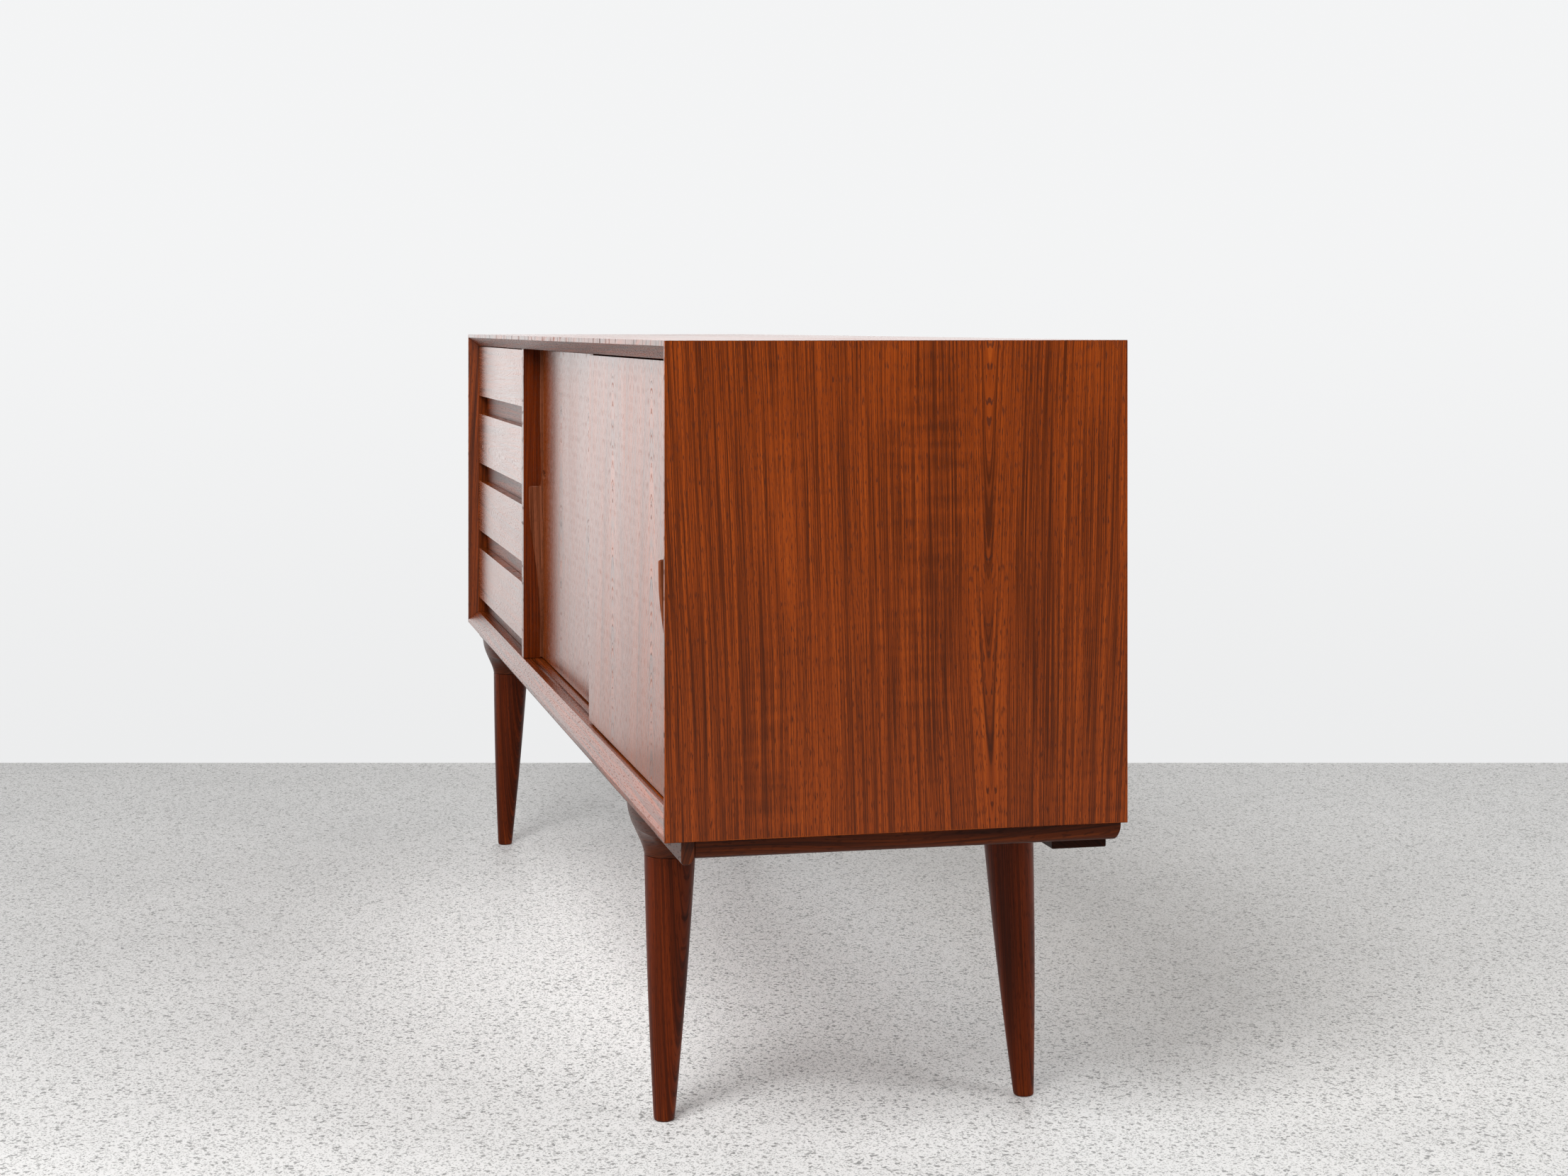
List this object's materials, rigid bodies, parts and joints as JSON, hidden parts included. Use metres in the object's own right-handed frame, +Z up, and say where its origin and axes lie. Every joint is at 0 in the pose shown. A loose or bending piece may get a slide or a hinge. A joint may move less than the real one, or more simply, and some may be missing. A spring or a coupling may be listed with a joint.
{
  "type": "sideboard buffet",
  "caption": "Long low wooden sideboard with mitred bevelled carcase, drawers with finger gaps on the left, sliding doors with sculpted handles, and turned splayed legs on a frame.",
  "frame": {"origin": "on the floor, under the middle of the whole object", "axes": "+X along the length, towards the sliding doors' end; -Y out of the front; +Z up"},
  "size_m": [1.8, 0.452, 0.78],
  "materials": {
    "teak_veneer": "satin oiled teak veneer",
    "teak_solid": "satin solid teak",
    "teak_frame": "satin solid teak, darker",
    "beech": "pale drawer box timber, clear lacquer",
    "plywood": "thin plywood, clear lacquer"
  },
  "bodies": {
    "cabinet": {"top_panel": "teak_veneer", "bottom_panel": "teak_veneer", "left_gable": "teak_veneer", "right_gable": "teak_veneer", "divider": "teak_veneer", "partition": "teak_veneer", "left_shelf": "teak_veneer", "right_shelf": "teak_veneer", "drawer_rail_1": "teak_solid", "drawer_rail_2": "teak_solid", "drawer_rail_3": "teak_solid", "drawer_rail_4": "teak_solid", "front_left_leg": "teak_solid", "front_right_leg": "teak_solid", "rear_left_leg": "teak_solid", "rear_right_leg": "teak_solid", "front_rail": "teak_frame", "left_side_rail": "teak_frame", "right_side_rail": "teak_frame", "rear_rail": "teak_frame", "front_left_shoulder": "teak_frame", "front_right_shoulder": "teak_frame", "rear_left_shoulder": "teak_frame", "rear_right_shoulder": "teak_frame", "runner_1_left": "beech", "runner_1_right": "beech", "runner_2_left": "beech", "runner_2_right": "beech", "runner_3_left": "beech", "runner_3_right": "beech", "runner_4_left": "beech", "runner_4_right": "beech", "back_panel": "plywood"},
    "drawer_1": {"drawer_1_front": "teak_veneer", "drawer_1_left_side": "beech", "drawer_1_right_side": "beech", "drawer_1_back": "beech", "drawer_1_bottom": "plywood"},
    "drawer_2": {"drawer_2_front": "teak_veneer", "drawer_2_left_side": "beech", "drawer_2_right_side": "beech", "drawer_2_back": "beech", "drawer_2_bottom": "plywood"},
    "drawer_3": {"drawer_3_front": "teak_veneer", "drawer_3_left_side": "beech", "drawer_3_right_side": "beech", "drawer_3_back": "beech", "drawer_3_bottom": "plywood"},
    "drawer_4": {"drawer_4_front": "teak_veneer", "drawer_4_left_side": "beech", "drawer_4_right_side": "beech", "drawer_4_back": "beech", "drawer_4_bottom": "plywood"},
    "left_door": {"left_door_panel": "teak_veneer", "left_door_handle": "teak_solid"},
    "right_door": {"right_door_panel": "teak_veneer", "right_door_handle": "teak_solid"}
  },
  "joints": [
    {"name": "drawer_1_slide", "type": "slide", "parent": "cabinet", "child": "drawer_1", "axis": [0, -1, 0], "range_m": [0, 0.32]},
    {"name": "drawer_2_slide", "type": "slide", "parent": "cabinet", "child": "drawer_2", "axis": [0, -1, 0], "range_m": [0, 0.32]},
    {"name": "drawer_3_slide", "type": "slide", "parent": "cabinet", "child": "drawer_3", "axis": [0, -1, 0], "range_m": [0, 0.32]},
    {"name": "drawer_4_slide", "type": "slide", "parent": "cabinet", "child": "drawer_4", "axis": [0, -1, 0], "range_m": [0, 0.32]},
    {"name": "left_door_slide", "type": "slide", "parent": "cabinet", "child": "left_door", "axis": [1, 0, 0], "range_m": [0, 0.53]},
    {"name": "right_door_slide", "type": "slide", "parent": "cabinet", "child": "right_door", "axis": [1, 0, 0], "range_m": [-0.53, 0]}
  ]
}
